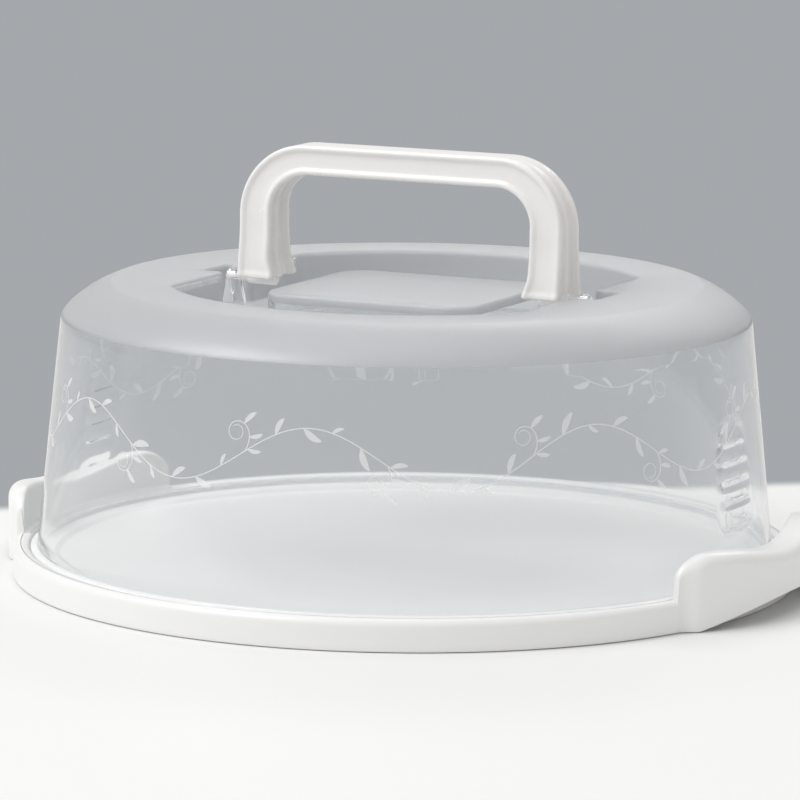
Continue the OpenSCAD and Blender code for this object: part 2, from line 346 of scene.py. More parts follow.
def let_light_through(material, tint):
    """Lamps and bounced light pass the clear piece, so that what it covers is lit."""
    nodes, links = material.node_tree.nodes, material.node_tree.links
    shader, out = nodes["Principled BSDF"], nodes["Material Output"]
    path = nodes.new("ShaderNodeLightPath")
    either = nodes.new("ShaderNodeMath")
    either.operation = "MAXIMUM"
    links.new(path.outputs["Is Shadow Ray"], either.inputs[0])
    links.new(path.outputs["Is Diffuse Ray"], either.inputs[1])
    clear = nodes.new("ShaderNodeBsdfTransparent")
    clear.inputs["Color"].default_value = (*tint, 1)
    blend = nodes.new("ShaderNodeMixShader")
    links.new(either.outputs[0], blend.inputs["Fac"])
    links.new(shader.outputs[0], blend.inputs[1])
    links.new(clear.outputs[0], blend.inputs[2])
    links.new(blend.outputs[0], out.inputs["Surface"])


def plastic(name, colour, roughness, transmission=0.0, grain=0.0, ripple=0.0, vary=0.0, alpha=1.0):
    """Moulded plastic: constant values on the shader, a fine grain and a slow ripple as bump."""
    material = bpy.data.materials.new(name)
    material.use_nodes = True
    nodes, links = material.node_tree.nodes, material.node_tree.links
    shader = nodes["Principled BSDF"]
    shader.inputs["Base Color"].default_value = (*colour, 1)
    shader.inputs["Roughness"].default_value = roughness
    shader.inputs["IOR"].default_value = PLASTIC_IOR
    shader.inputs["Transmission Weight"].default_value = transmission
    shader.inputs["Alpha"].default_value = alpha
    place = nodes.new("ShaderNodeTexCoord")
    normal = None
    for strength, scale, detail in ((ripple, RIPPLE_SCALE, 1), (grain, 1 / (GRAIN_SIZE * MM), 2)):
        if not strength:
            continue
        noise = nodes.new("ShaderNodeTexNoise")
        noise.inputs["Scale"].default_value = scale
        noise.inputs["Detail"].default_value = detail
        links.new(place.outputs["Object"], noise.inputs["Vector"])
        bump = nodes.new("ShaderNodeBump")
        bump.inputs["Strength"].default_value = strength
        bump.inputs["Distance"].default_value = BUMP_DEPTH * MM
        links.new(noise.outputs["Fac"], bump.inputs["Height"])
        if normal:
            links.new(normal, bump.inputs["Normal"])
        normal = bump.outputs["Normal"]
    if normal:
        links.new(normal, shader.inputs["Normal"])
    if vary:
        patch = nodes.new("ShaderNodeTexNoise")
        patch.inputs["Scale"].default_value = VARY_SCALE
        patch.inputs["Detail"].default_value = 4.0
        links.new(place.outputs["Object"], patch.inputs["Vector"])
        spread = nodes.new("ShaderNodeMapRange")
        spread.inputs["To Min"].default_value = roughness - vary
        spread.inputs["To Max"].default_value = roughness + vary
        links.new(patch.outputs["Fac"], spread.inputs["Value"])
        links.new(spread.outputs["Result"], shader.inputs["Roughness"])
    return material


tray_white = plastic("tray_white", (0.88, 0.88, 0.87), 0.30, ripple=0.10, grain=0.04, vary=0.04)
handle_white = plastic("handle_white", (0.87, 0.853, 0.843), 0.26, ripple=0.08, grain=0.04, vary=0.04)
cover_clear = plastic("cover_clear", (0.97, 0.98, 0.985), 0.03, transmission=0.96, ripple=0.05)
cover_frosted = plastic("cover_frosted", (0.60, 0.612, 0.63), 0.42, transmission=0.6, grain=0.25)
cover_satin = plastic("cover_satin", (0.88, 0.89, 0.90), 0.22, transmission=0.8, grain=0.1)
cover_foot = plastic("cover_foot", (0.93, 0.935, 0.94), 0.35, transmission=0.35, grain=0.1)
let_light_through(cover_clear, (0.96, 0.965, 0.97))
let_light_through(cover_frosted, (0.84, 0.845, 0.85))
let_light_through(cover_satin, (0.92, 0.925, 0.93))
let_light_through(cover_foot, (0.92, 0.925, 0.93))
print_white = plastic("print_white", (0.95, 0.95, 0.95), 0.35, alpha=0.34)


# Tray -----------------------------------------------------------------


def ear_side_line():
    """The ear's top line from its flat part to the rim, as (distance from its middle, height)."""
    top = arc(EAR_FLAT_HALF, EAR_TOP - EAR_END_ROUND, EAR_END_ROUND, 90, EAR_ARC_END, 14)
    lean = math.radians(EAR_ARC_END)
    last = top[-1]
    drop = last[1] - (TRAY_H + EAR_FILLET * (1 - math.sin(lean)))
    foot_x = last[0] + drop * math.tan(lean) + EAR_FILLET * math.cos(lean)
    bottom = arc(foot_x, TRAY_H + EAR_FILLET, EAR_FILLET, 180 + EAR_ARC_END, 270, 7)
    return top + bottom


EAR_SIDE = ear_side_line()


def ear_top_z(y):
    """Height of the ear's top at a distance from its middle."""
    y = abs(y)
    if y < EAR_DIP_HALF:
        return EAR_TOP - EAR_DIP * (1 + math.cos(math.pi * y / EAR_DIP_HALF)) / 2
    if y >= EAR_SIDE[-1][0]:
        return TRAY_H
    if y <= EAR_SIDE[0][0]:
        return EAR_TOP
    for a, b in zip(EAR_SIDE, EAR_SIDE[1:]):
        if y <= b[0]:
            return mix(a[1], b[1], (y - a[0]) / max(b[0] - a[0], 1e-9))
    return TRAY_H


def ear_reach_r(angle):
    """Distance from the tray's axis to the ear's outer circle in a direction."""
    along = EAR_CIRCLE_X * math.cos(angle)
    return along + math.sqrt(EAR_CIRCLE_R**2 - (EAR_CIRCLE_X * math.sin(angle)) ** 2)


def tray_angles():
    """Directions of the tray's columns: even outside the ears, and fine at the ears' ends."""
    ends = [math.asin(min(y, TRAY_R) / EAR_INNER_R) for y, _ in EAR_SIDE]
    half = [i * math.radians(1.5) for i in range(int(math.degrees(ends[0]) / 1.5) + 1)]
    half += [a for a in ends if a > half[-1] + 1e-4]
    last = half[-1]
    rest = int(math.degrees(math.pi / 2 - last) / 2)
    half += [mix(last, math.pi / 2, (i + 1) / rest) for i in range(rest)]
    right = [-a for a in half[:0:-1]] + half[:-1]
    return right + [a + math.pi for a in right]


def seat_line():
    """The tray's upper line from its axis over the cake floor and the seat to the rim."""
    points = [(0, FLOOR_Z)] + [(r, FLOOR_Z) for r in FLOOR_RINGS]
    points += arc(FLOOR_R - FLOOR_STEP_W, FLOOR_Z + FLOOR_FILLET, FLOOR_FILLET, 270, 320, 3)
    points += arc(FLOOR_R + TRAY_EDGE / 2, SEAT_Z - TRAY_EDGE, TRAY_EDGE, 140, 90, 3)
    points += arc(SEAT_R - TRAY_EDGE, SEAT_Z + TRAY_EDGE, TRAY_EDGE, 270, 350, 3)
    return points + arc(SEAT_R + 1.3, TRAY_H - 1.6, 1.0, 175, 100, 4)


def hollow_line(outer, top, low):
    """The inside of the hollow ear, from its foot up under its top and down behind the skirt."""
    wall_in = outer - TRAY_WALL
    ceiling = max(top - TRAY_WALL, 1.0)
    fillet = EAR_HOLLOW_FILLET
    points = arc(wall_in + TRAY_EDGE, low + TRAY_EDGE, TRAY_EDGE, 270, 180, 3)
    points += line((wall_in, low + TRAY_EDGE + 0.6), (wall_in, ceiling - fillet - 0.5), 4)
    points += arc(wall_in - fillet, ceiling - fillet, fillet, 0, 90, 4)
    points += [(TRAY_R + 0.3, ceiling), (TRAY_R - 0.5, ceiling - 0.8)]
    points += line((TRAY_R - 0.5, ceiling - 1.4), (TRAY_R - 0.3, 1.2), 4)
    return points + arc(TRAY_R - TRAY_EDGE, SKIRT_EDGE, SKIRT_EDGE, 0, -90, 3)


def under_line():
    """The tray's lower line from the foot of its skirt to its axis."""
    skirt_in = TRAY_R - TRAY_WALL
    seat_under = SEAT_Z - TRAY_WALL
    points = arc(skirt_in + SKIRT_EDGE, SKIRT_EDGE, SKIRT_EDGE, 270, 180, 3)
    points += [(skirt_in, 4.0), (skirt_in, seat_under), (FLOOR_R, seat_under)]
    points.append((FLOOR_R - FLOOR_STEP_W, UNDER_Z))
    return points + [(r, UNDER_Z) for r in FLOOR_RINGS[::-1]] + [(0, UNDER_Z)]


def ear_low_z(y):
    """Height of the ear's lower edge at a distance from its middle."""
    return EAR_LIFT * math.cos(math.pi / 2 * y / EAR_FOOT_HALF) if y < EAR_FOOT_HALF else 0.0


def tray_column(angle):
    """One closed section of the tray: its upper line, its outer face and its lower line."""
    y = abs(EAR_INNER_R * math.sin(angle))
    facing = angle if math.cos(angle) >= 0 else math.pi - angle
    top, outer, low = TRAY_H, TRAY_R, ear_low_z(y)
    if y < EAR_END:
        top = ear_top_z(y)
        outer = mix(TRAY_R, ear_reach_r(facing), smooth((EAR_END - y) / (EAR_END - EAR_FULL_HALF)))
    # The edges' roundings grow with the ear's height, and fit its thickness
    rise = smooth((top - TRAY_H) / EAR_EDGE_RISE)
    outer_round = mix(RIM_ROUND, EAR_EDGE_ROUND, rise)
    inner_round = mix(0.0, EAR_INNER_EDGE, rise)
    fit = min(1.0, (outer - EAR_INNER_R - 0.1) / (outer_round + inner_round)) if rise else 1.0
    outer_round, inner_round = mix(outer_round, outer_round * fit, rise), inner_round * fit
    face_r = EAR_INNER_R - 0.2
    foot = min(EAR_INNER_FILLET, max((top - TRAY_H) / 2, 0.0))
    points = seat_line()
    points += arc(face_r - foot, TRAY_H + foot, foot, 270, 350, 4)
    points += line((face_r, TRAY_H + foot), (EAR_INNER_R, top - inner_round), 6)
    points += arc(EAR_INNER_R + inner_round, top - inner_round, inner_round, 180, 90, 4)
    points += arc(outer - outer_round, top - outer_round, outer_round, 90, 0, 8)
    points += line((outer, top - outer_round - 0.5), (outer, low + 2 * TRAY_EDGE), 6)
    points += arc(outer - TRAY_EDGE, low + TRAY_EDGE, TRAY_EDGE, 0, -90, 4)
    # Beyond the ears the hollow closes to a point in the skirt's foot
    hollow = smooth((EAR_END - 4.5 - y) / 8)
    closed_r = TRAY_R - TRAY_WALL / 2
    points += [(mix(closed_r, r, hollow), mix(0.0, z, hollow)) for r, z in hollow_line(outer, top, low)]
    return [spin(angle, r, z) for r, z in points + under_line()]


def make_under_ring(build):
    """The ring under the cake floor."""
    inner, outer = UNDER_RING_R, UNDER_RING_R + TRAY_WALL
    edge_z = UNDER_RING_Z + UNDER_RING_EDGE
    section = [(inner, UNDER_Z + 1), (inner, edge_z), (inner + UNDER_RING_EDGE, UNDER_RING_Z),
               (outer - UNDER_RING_EDGE, UNDER_RING_Z), (outer, edge_z), (outer, UNDER_Z + 1)]
    turns = [2 * math.pi * i / UNDER_RING_COLUMNS for i in range(UNDER_RING_COLUMNS)]
    build.grid([[spin(a, r, z) for r, z in section] for a in turns], closed_rows=True)


def make_under_ribs(build):
    """The ribs from the ring to the skirt."""
    half = TRAY_WALL / 2
    start, end = UNDER_RING_R + half, TRAY_R - half - 0.4
    outline = [(start, UNDER_RIB_Z), (end, UNDER_RIB_Z), (end, SEAT_Z - 1),
               (start, SEAT_Z - TRAY_WALL - 0.8)]
    for i in range(UNDER_RIBS):
        angle = (i + 0.5) * 2 * math.pi / UNDER_RIBS
        along = Vector((math.cos(angle), math.sin(angle), 0))
        across = Vector((-math.sin(angle), math.cos(angle), 0))

        def place(u, v, w, along=along, across=across):
            return tuple(along * u + across * w + Vector((0, 0, v)))

        build.prism(outline, place, -half, half, UNDER_RIB_BEVEL)


def make_tray():
    build = Build()
    build.grid([tray_column(a) for a in tray_angles()])
    make_under_ring(build)
    make_under_ribs(build)
    return build.make("tray", [tray_white])


# Cover ----------------------------------------------------------------

# The finishes of the cover, as places in its list of materials
CLEAR, FROSTED, SATIN, FOOT = range(4)


def wall_r(z):
    """Outer radius of the cover's wall at a height."""
    return WALL_FOOT_R - DRAFT * (z - COVER_FOOT_Z)


def recess_quarter():
    """A quarter of the recess's outline from +X to +Y, as (x, y, normal x, normal y)."""
    end, side, round_r = POCKET_X, POCKET_Y, POCKET_CORNER
    points = [(end, end * math.tan(math.radians(0.5 * i)), 1, 0) for i in range(11)]

    def turn(x, y, radius, start, stop, steps, sign=1):
        for i in range(steps + 1):
            a = math.radians(mix(start, stop, i / steps))
            c, n = math.cos(a), math.sin(a)
            points.append((x + radius * c, y + radius * n, sign * c, sign * n))

    turn(end - round_r, side - round_r, round_r, 0, 90, 6)
    turn(RECESS_HALF_W + round_r, side + round_r, round_r, 270, 180, 6, -1)
    corner_x = RECESS_HALF_W - RECESS_CORNER
    corner_y = math.sqrt((RECESS_R - RECESS_CORNER) ** 2 - corner_x**2)
    low, high = side + round_r, corner_y
    points.extend((RECESS_HALF_W, mix(low, high, i / 22), 1, 0) for i in range(1, 22))
    corner_end = math.degrees(math.atan2(corner_y, corner_x))
    turn(corner_x, corner_y, RECESS_CORNER, 0, corner_end, 10)
    arc_end = 54
    turn(0, 0, RECESS_R, corner_end + 1, arc_end, arc_end - int(corner_end) - 1)
    turn(0, 0, RECESS_R, arc_end + 2, 88, (88 - arc_end - 2) // 2)
    return points


def recess_outline():
    """The recess's whole outline, once round from +X."""
    quarter = recess_quarter()
    half = quarter + [(0, RECESS_R, 0, 1)] + [(-x, y, -u, v) for x, y, u, v in quarter[:0:-1]]
    return half + [(-x, -y, -u, -v) for x, y, u, v in half]


def island_r(angle, inset):
    """Distance from the axis to the island's rounded outline in a direction."""
    c, s = abs(math.cos(angle)), abs(math.sin(angle))
    half_x, half_y, round_r = ISLAND_X - inset, ISLAND_Y - inset, max(ISLAND_CORNER - inset, 1.0)
    reach = min(half_x / max(c, 1e-9), half_y / max(s, 1e-9))
    corner_x, corner_y = half_x - round_r, half_y - round_r
    if reach * c > corner_x and reach * s > corner_y:
        along = corner_x * c + corner_y * s
        away = corner_x**2 + corner_y**2 - round_r**2
        reach = along + math.sqrt(max(along**2 - away, 0))
    return reach


def edge(t, soft):
    """One for t well inside, nought outside, with a soft edge."""
    return smooth(t / soft + 0.5)


def grip_shape(angle, z, margin, soft):
    """One inside the side grip's arched outline, nought outside it, with a soft edge."""
    off = math.degrees(math.asin(math.sin(angle)))
    half_w = math.radians(GRIP_HALF_ANGLE) * wall_r(z) + margin
    aside = abs(math.radians(off)) * wall_r(z)
    arch = GRIP_ARCH * (1 - math.sqrt(max(1 - (aside / half_w) ** 2, 0)))
    top = GRIP_LOW + GRIP_H + margin - arch
    return edge(half_w - aside, soft + GRIP_SIDE_SOFT) * edge(min(z - GRIP_LOW + margin, top - z), soft)


def grip_dip(angle, z):
    """How far the side grip sinks into the wall at a point, between its ribs."""
    pitch = GRIP_H / (GRIP_RIBS + 1)
    count = round((z - GRIP_LOW) / pitch)
    rib = 0.0
    if 1 <= count <= GRIP_RIBS:
        rib = edge(GRIP_RIB_W / 2 - abs(z - GRIP_LOW - count * pitch), GRIP_RIB_SOFT)
    return GRIP_DEPTH * grip_shape(angle, z, 0, GRIP_SOFT) * (1 - GRIP_RIB_H * rib)


def grip_pad(angle, z):
    """How far the wall swells inwards behind the side grip."""
    return GRIP_DEPTH * grip_shape(angle, z, PAD_MARGIN, PAD_SOFT)


def top_line(station, inner):
    """Points over the shoulder, crown, recess and island to the axis, and the finish of each."""
    t = COVER_WALL if inner else 0.0
    x, y, normal_x, normal_y = station
    angle = math.atan2(y, x)
    straight = abs(normal_y) < 0.1 and abs(y) > POCKET_Y + POCKET_CORNER
    crown_r = wall_r(SHOULDER_Z) - SHOULDER_W
    points, finish = [], []

    def put(stretch, slot):
        points.extend(spin(angle, r, z) for r, z in stretch)
        finish.extend([slot] * len(stretch))

    def put_wall(stretch, slot):
        """Points at a distance outside the recess's outline."""
        points.extend((x + normal_x * off, y + normal_y * off, z) for off, z in stretch)
        finish.extend([slot] * len(stretch))

    shoulder = []
    for i in range(1, SHOULDER_STEPS + 1):
        a = math.pi / 2 * i / SHOULDER_STEPS
        shoulder.append((
            crown_r + (SHOULDER_W - t) * math.cos(a) ** (2 / SHOULDER_POWER),
            SHOULDER_Z + (SHOULDER_H - t) * max(math.sin(a), 0) ** (2 / SHOULDER_POWER),
        ))
    put(shoulder, FROSTED)
    top = CROWN_Z - t
    convex = max(EDGE_ROUND - t, LEAST_ROUND)
    concave = RECESS_FILLET + t
    floor = RECESS_Z - t
    edge_x, edge_y = x + normal_x * (t + convex), y + normal_y * (t + convex)
    put([(mix(crown_r, math.hypot(edge_x, edge_y), 0.5), top)], FROSTED)
    put_wall(arc(t + convex, top - convex, convex, 90, 175, 6), FROSTED)
    put_wall(line((t, top - convex - 0.3), (t, RECESS_SATIN_Z), 2), SATIN if straight else FROSTED)
    put_wall(line((t, RECESS_SATIN_Z), (t, floor + concave + 0.3), 3), FROSTED)
    put_wall(arc(t - concave, floor + concave, concave, 0, -90, 5), FROSTED)
    reach = island_r(angle, t)
    island_concave = ISLAND_FILLET + t
    wall_foot = math.hypot(x + normal_x * (t - concave), y + normal_y * (t - concave))
    put([(mix(wall_foot, reach + island_concave, 0.5), floor)], FROSTED)
    put(arc(reach + island_concave, floor + island_concave, island_concave, 270, 180, 5), FROSTED)
    island_convex = max(ISLAND_EDGE - t, LEAST_ROUND)
    island_top = ISLAND_Z - t
    put(line((reach, floor + island_concave + 0.5), (reach, island_top - island_convex), 4), CLEAR)
    put(arc(reach - island_convex, island_top - island_convex, island_convex, 0, 90, 5), FROSTED)
    put([(reach * 0.6, island_top), (0, island_top)], FROSTED)
    return points, finish


def cover_column(station):
    """A section of the cover from the island's top round the foot to its underside, with finishes."""
    angle = math.atan2(station[1], station[0])
    top, finish = top_line(station, False)
    points = top[::-1]
    marks = finish[::-1]

    def put(stretch, slot=CLEAR):
        points.extend(spin(angle, r, z) for r, z in stretch)
        marks.extend([slot] * len(stretch))

    # The wall's outside has close rows over the grip, and its inside over the pad behind it
    grip_low, grip_top = GRIP_LOW - 1.5, GRIP_LOW + GRIP_H + 1.5
    heights = [mix(SHOULDER_Z, grip_top, i / 8) for i in range(8)]
    rows = int((grip_top - GRIP_LOW + 1.5) / GRIP_ROW)
    heights += [mix(grip_top, grip_low, i / rows) for i in range(rows + 1)]
    flange_top = COVER_FOOT_Z + FLANGE_H
    heights += [mix(grip_low, flange_top + FLANGE_EDGE, i / 4) for i in range(1, 5)]
    put([(wall_r(z) - grip_dip(angle, z), z) for z in heights])
    put(arc(WALL_FOOT_R + 0.8, flange_top + 0.2, 0.9, 190, 250, 3), FOOT)
    put(arc(FOOT_R - FLANGE_EDGE, COVER_FOOT_Z + 2 * FLANGE_EDGE, FLANGE_EDGE, 60, 0, 3), FOOT)
    put(arc(FOOT_R - 0.5, COVER_FOOT_Z + 0.5, 0.5, 0, -90, 3), FOOT)
    foot_in = WALL_FOOT_R - COVER_WALL + FLANGE_EDGE
    put(arc(foot_in, COVER_FOOT_Z + FLANGE_EDGE, FLANGE_EDGE, 270, 180, 3))
    pad_low, pad_top = GRIP_LOW - 6, GRIP_LOW + GRIP_H + 6
    inner_heights = [mix(COVER_FOOT_Z + 1.4, pad_low, i / 3) for i in range(3)]
    inner_heights += [mix(pad_low, pad_top, i / 24) for i in range(25)]
    inner_heights += [mix(pad_top, SHOULDER_Z, i / 5) for i in range(1, 6)]
    put([(wall_r(z) - COVER_WALL - grip_pad(angle, z), z) for z in inner_heights])
    under, finish = top_line(station, True)
    points += under
    marks += [CLEAR if slot == CLEAR else SATIN for slot in finish]
    return points, marks


def lug_shape(build, side):
    """A clear lug with a hole for the handle's pin."""
    hole_r = PIN_R + PIN_GAP
    outer_r = hole_r + LUG_RIM
    outline = arc(0, PIVOT_Z, outer_r, 15, 165, 16)
    low = RECESS_Z - COVER_WALL / 2
    left = line(outline[-1], (-LUG_ROOT, low), 6)[1:]
    floor_run = line((-LUG_ROOT, low), (LUG_ROOT, low), 8)
    right = line((LUG_ROOT, low), outline[0], 6)
    outline = outline + left + floor_run + right
    count = len(outline)
    hole = []
    for y, z in outline:
        a = math.atan2(z - PIVOT_Z, y)
        hole.append((hole_r * math.cos(a), PIVOT_Z + hole_r * math.sin(a)))
    rings = []
    lug_out = LUG_IN + LUG_T
    for ring, x, inset in (
        (hole, LUG_IN, 0), (outline, LUG_IN, LUG_BEVEL), (outline, LUG_IN + LUG_BEVEL, 0),
        (outline, lug_out - LUG_BEVEL, 0), (outline, lug_out, LUG_BEVEL), (hole, lug_out, 0),
    ):
        placed = []
        for y, z in ring:
            if inset:
                size = math.hypot(y, z - PIVOT_Z)
                y, z = y - y / size * inset, z - (z - PIVOT_Z) / size * inset
            placed.append((side * x, side * y, z))
        rings.append(placed)
    points = [p for ring in rings for p in ring]
    faces = []
    for k in range(len(rings)):
        m = (k + 1) % len(rings)
        for i in range(count):
            j = (i + 1) % count
            faces.append((k * count + i, k * count + j, m * count + j, m * count + i))
    build.add(points, faces, CLEAR)


def make_cover():
    build = Build()
    columns, slots = [], []
    for station in recess_outline():
        points, marks = cover_column(station)
        columns.append(points)
        slots += marks[:-1]
    build.grid(columns, slots=slots)
    for side in (1, -1):
        lug_shape(build, side)
    return build.make("cover_shell", [cover_clear, cover_frosted, cover_satin, cover_foot])


# Print on the cover's wall ----------------------------------------------

PRINT_LIFT = 0.02
PRINT_T = 0.05
VINE_Z = 66.0
VINE_SWING = 11.0
VINE_WAVES = 8
VINE_LEAVES = 10
STROKE_W = 0.42
VINE_STEPS = 48
# Leaves stand off the vine by this angle and bend back, and their lengths vary round the wall
LEAF_ANGLE = 52
LEAF_BEND = 38
LEAF_LENGTH = 7.0
LEAF_SPREAD = 2.2
LEAF_STEPS = 8
LEAF_TIP_W = 0.12
LEAF_FULLNESS = 0.27
# A curl starts at this angle to the vine, and rolls up over its length
CURL_ANGLE = 30
CURL_LENGTH = 34
CURL_TURN = 520
CURL_STEPS = 44


def stroke(build, path, width):
    """A flat stroke on the wall along path, as (arc length, height); width is a function of 0..1."""
    count = len(path)
    middle_r = wall_r(VINE_Z)
    columns = []
    for i, (u, z) in enumerate(path):
        before, after = path[max(i - 1, 0)], path[min(i + 1, count - 1)]
        du, dz = after[0] - before[0], after[1] - before[1]
        length = math.hypot(du, dz) or 1
        half = width(i / (count - 1)) / 2
        column = []
        for side, lift in ((1, 0), (-1, 0), (-1, PRINT_T), (1, PRINT_T)):
            x, y = u - side * dz / length * half, z + side * du / length * half
            column.append(spin(x / middle_r, wall_r(y) + PRINT_LIFT + lift, y))
        columns.append(column)
    build.grid(columns, closed_columns=False, closed_rows=True)
    last = len(build.points) - 4
    first = last - 4 * (count - 1)
    build.faces += [tuple(end + i for i in range(4)) for end in (first, last)]
    build.slots += [0, 0]


def curve(start, heading, length, bend, steps):
    """A path of a length that turns by bend degrees in all, faster towards its end."""
    points = [start]
    for i in range(steps):
        a = math.radians(heading + bend * ((i + 0.5) / steps) ** 1.6)
        u, z = points[-1]
        points.append((u + math.cos(a) * length / steps, z + math.sin(a) * length / steps))
    return points


def leaf(build, start, heading, length, bend):
    """A filled leaf, pointed at both ends."""
    path = curve(start, heading, length, bend, LEAF_STEPS)
    fullness = LEAF_FULLNESS * length
    stroke(build, path, lambda t: LEAF_TIP_W + fullness * math.sin(math.pi * t) ** 0.8)


def make_print():
    """A vine that waves round the wall, with leaves on both sides and a curl in each bow."""
    build = Build()
    wave = 2 * math.pi * wall_r(VINE_Z) / VINE_WAVES

    def vine(u):
        return (u, VINE_Z + VINE_SWING * math.sin(2 * math.pi * u / wave))

    def heading(u):
        rise = VINE_SWING * 2 * math.pi / wave * math.cos(2 * math.pi * u / wave)
        return math.degrees(math.atan(rise))

    for k in range(VINE_WAVES):
        start = k * wave
        bow = [vine(start + wave * i / VINE_STEPS) for i in range(VINE_STEPS + 1)]
        stroke(build, bow, lambda t: STROKE_W)
        for i in range(VINE_LEAVES):
            u = start + wave * (i + 0.3) / VINE_LEAVES
            hand = 1 if i % 2 else -1
            size = LEAF_LENGTH + LEAF_SPREAD * math.sin(2.4 * i + 1.7 * k)
            leaf(build, vine(u), heading(u) + hand * LEAF_ANGLE, size, -hand * LEAF_BEND)
        for share, hand in ((0.02, 1), (0.52, -1)):
            u = start + wave * share
            lean = hand * CURL_ANGLE
            curl = curve(vine(u), heading(u) + lean, CURL_LENGTH, hand * CURL_TURN, CURL_STEPS)
            stroke(build, curl, lambda t: STROKE_W * (1 - 0.4 * t))
            leaf(build, curl[14], heading(u) + hand * 20, 6.5, -lean)
            leaf(build, curl[7], heading(u) - lean, 5.5, lean)
    return build.make("wall_print", [print_white])


# Handle ---------------------------------------------------------------


def handle_side(half_w, depth, channel):
    """Half of one side of the bar, from its middle rib over the channel to the face's middle."""
    half_d = depth / 2
    web = half_w - channel
    rib = half_w - 0.3 * channel
    bead = half_d - FLANGE_T
    side = [(rib, 0.0), (rib, RIB_HALF_W)]
    side += [(mix(rib, web, share), off) for share, off in RIB_SLOPE]
    side += [(mix(web, half_w, share), bead + off) for share, off in BEAD_SLOPE]
    side.append((half_w - 0.15, bead + 0.5))
    side += arc(half_w - BEAD_ROUND, half_d - BEAD_ROUND, BEAD_ROUND, 0, 90, 7)
    side += [(half_w - reach, half_d - FACE_DISH * share) for reach, share in DISH_SLOPE]
    return side + [(half_w * 0.15, half_d - FACE_DISH)]


def handle_section(half_w, depth, outer_channel, inner_channel):
    """Outline of the bar across its run, as (outwards, depth) points."""
    outer = handle_side(half_w, depth, outer_channel)
    inner = handle_side(half_w, depth, inner_channel)
    half = outer + [(-n, y) for n, y in inner[::-1]]
    return half + [(n, -y) for n, y in half[-2:0:-1]]


def leg_stations():
    """The stations of the right leg, from its foot up to the corner."""
    stations = []
    for height in LEG_HEIGHTS:
        up = height - FOOT_LIFT
        flare = FOOT_FLARE * (1 - smooth(up / FLARE_H))
        lip = FOOT_LIP * (1 - smooth((up - 1.2) / 1.8))
        inset = FOOT_EDGE * (1 - math.sqrt(1 - (1 - min(up / FOOT_EDGE, 1)) ** 2))
        depth = mix(FOOT_D - 2 * FOOT_LIP, HANDLE_D, smooth(up / (FOOT_H - FOOT_LIFT)))
        stations.append((LEG_OUT - LEG_W / 2 - flare / 2, height, (1, 0), LEG_W / 2 + flare / 2 - inset,
                         depth + 2 * lip - 2 * inset, 1.0))
    return stations


def corner_stations():
    """The stations of the right corner, from the leg up to the bar."""
    stations = []
    for i in range(CORNER_STEPS + 1):
        share = i / CORNER_STEPS
        a = math.pi / 2 * share
        half_w = mix(LEG_W, BAR_H, share) / 2
        run = HANDLE_CORNER - half_w
        stations.append((LEG_OUT - HANDLE_CORNER + run * math.cos(a),
                         HANDLE_TOP - HANDLE_CORNER + run * math.sin(a), (math.cos(a), math.sin(a)),
                         half_w, mix(HANDLE_D, BAR_D, share), mix(1.0, TOP_CHANNEL, smooth(1.3 * share))))
    return stations


def handle_stations():
    """Places along the handle's run: (x, height over the pivot, outward direction, half width,
    depth, share of the outer channel's depth)."""
    bar = (HANDLE_TOP - BAR_H / 2, (0, 1), BAR_H / 2, BAR_D, TOP_CHANNEL)
    right = leg_stations() + corner_stations() + [(float(x), *bar) for x in BAR_STATIONS]
    left = [(-x, h, (-n[0], n[1]), w, d, c) for x, h, n, w, d, c in right[::-1]]
    return right + [(0.0, *bar)] + left


def make_handle():
    build = Build()
    columns = []
    for x, height, normal, half_w, depth, share in handle_stations():
        section = handle_section(half_w, depth, CHANNEL_D * share, CHANNEL_D)
        columns.append([(x + n * normal[0], y, PIVOT_Z + height + n * normal[1]) for n, y in section])
    build.grid(columns, closed_columns=False, closed_rows=True)
    rows = len(columns[0])
    first = tuple(range(rows))
    last = tuple((len(columns) - 1) * rows + i for i in range(rows))
    build.faces += [first, last]
    build.slots += [0, 0]
    leg_in = LEG_OUT - LEG_W
    for side in (1, -1):
        def place(u, v, w, side=side):
            return (side * w, u, PIVOT_Z + v)

        build.rod(place, KNUCKLE_R, leg_in + 1.0, LEG_OUT, 0.5)
        build.rod(place, PIN_R, LEG_OUT - 1.0, HANDLE_HIGH.x, 0.35)
    return build.make("carry_handle", [handle_white], sharp=50)


# Stage ----------------------------------------------------------------

FLOOR_COLOUR = (0.85, 0.85, 0.84)
BACK_COLOUR = (0.375, 0.39, 0.41)
LIGHT_LEVEL = 0.57
# The pale floor ends behind the object along this direction and at this distance, in metres,
# and turns into the backdrop over a short blend
BEHIND = (-0.622, 0.783)
FLOOR_DEPTH = 0.145
FLOOR_BLEND = 0.02
FLOOR_HALF = 6.0
FLOOR_GAP = 0.0002
# Lamps as (name, place, size, power in watts)
LAMPS = (
    ("key", (-1.0, -1.1, 1.8), (1.2, 1.0), 27),
    ("top", (-0.1, 0.1, 2.0), (1.0, 1.0), 4),
    ("fill", (1.7, -0.6, 1.0), (0.8, 1.2), 1),
    ("rim", (-0.2, 1.6, 1.5), (1.6, 0.5), 8),
)
LAMP_TARGET = (0, 0, 0.06)


